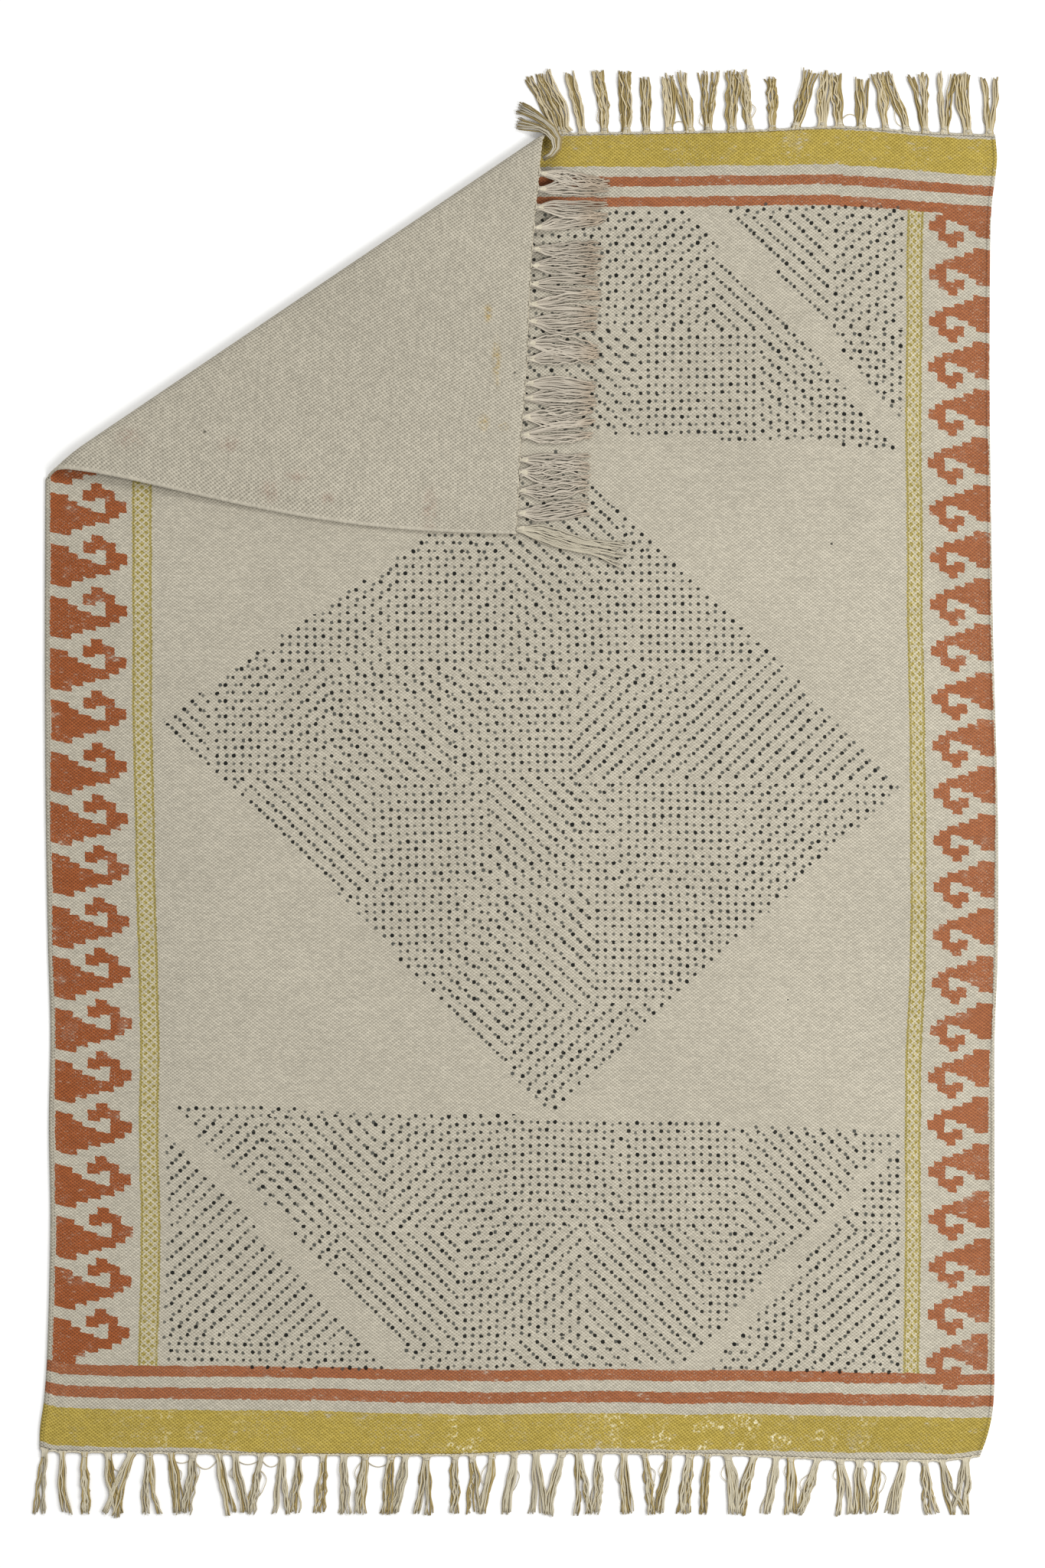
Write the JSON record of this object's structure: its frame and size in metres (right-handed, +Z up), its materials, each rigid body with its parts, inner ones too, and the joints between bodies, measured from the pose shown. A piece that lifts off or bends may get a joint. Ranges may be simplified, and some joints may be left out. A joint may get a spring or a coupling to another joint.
{
  "type": "dhurrie rug",
  "caption": "Flat-woven cotton dhurrie with block-printed borders, a dotted diamond field and knotted fringes, one corner turned over onto its face.",
  "frame": {"origin": "on the floor, under the middle of the box that holds the cloth and both fringes", "axes": "+Z up out of the printed face, +Y along the rug towards the end whose left corner is turned over, +X across it to the right"},
  "size_m": [1.2146, 1.846, 0.0181],
  "materials": {
    "printed_cotton": "matt weft-faced cotton, block printed in terracotta, mustard and near-black",
    "fringe_yarn": "matt plied cotton yarn, some strands dyed mustard"
  },
  "bodies": {
    "root": {"rug": "printed_cotton", "fringe_near": "fringe_yarn", "fringe_far": "fringe_yarn", "fringe_turned": "fringe_yarn"}
  },
  "joints": []
}
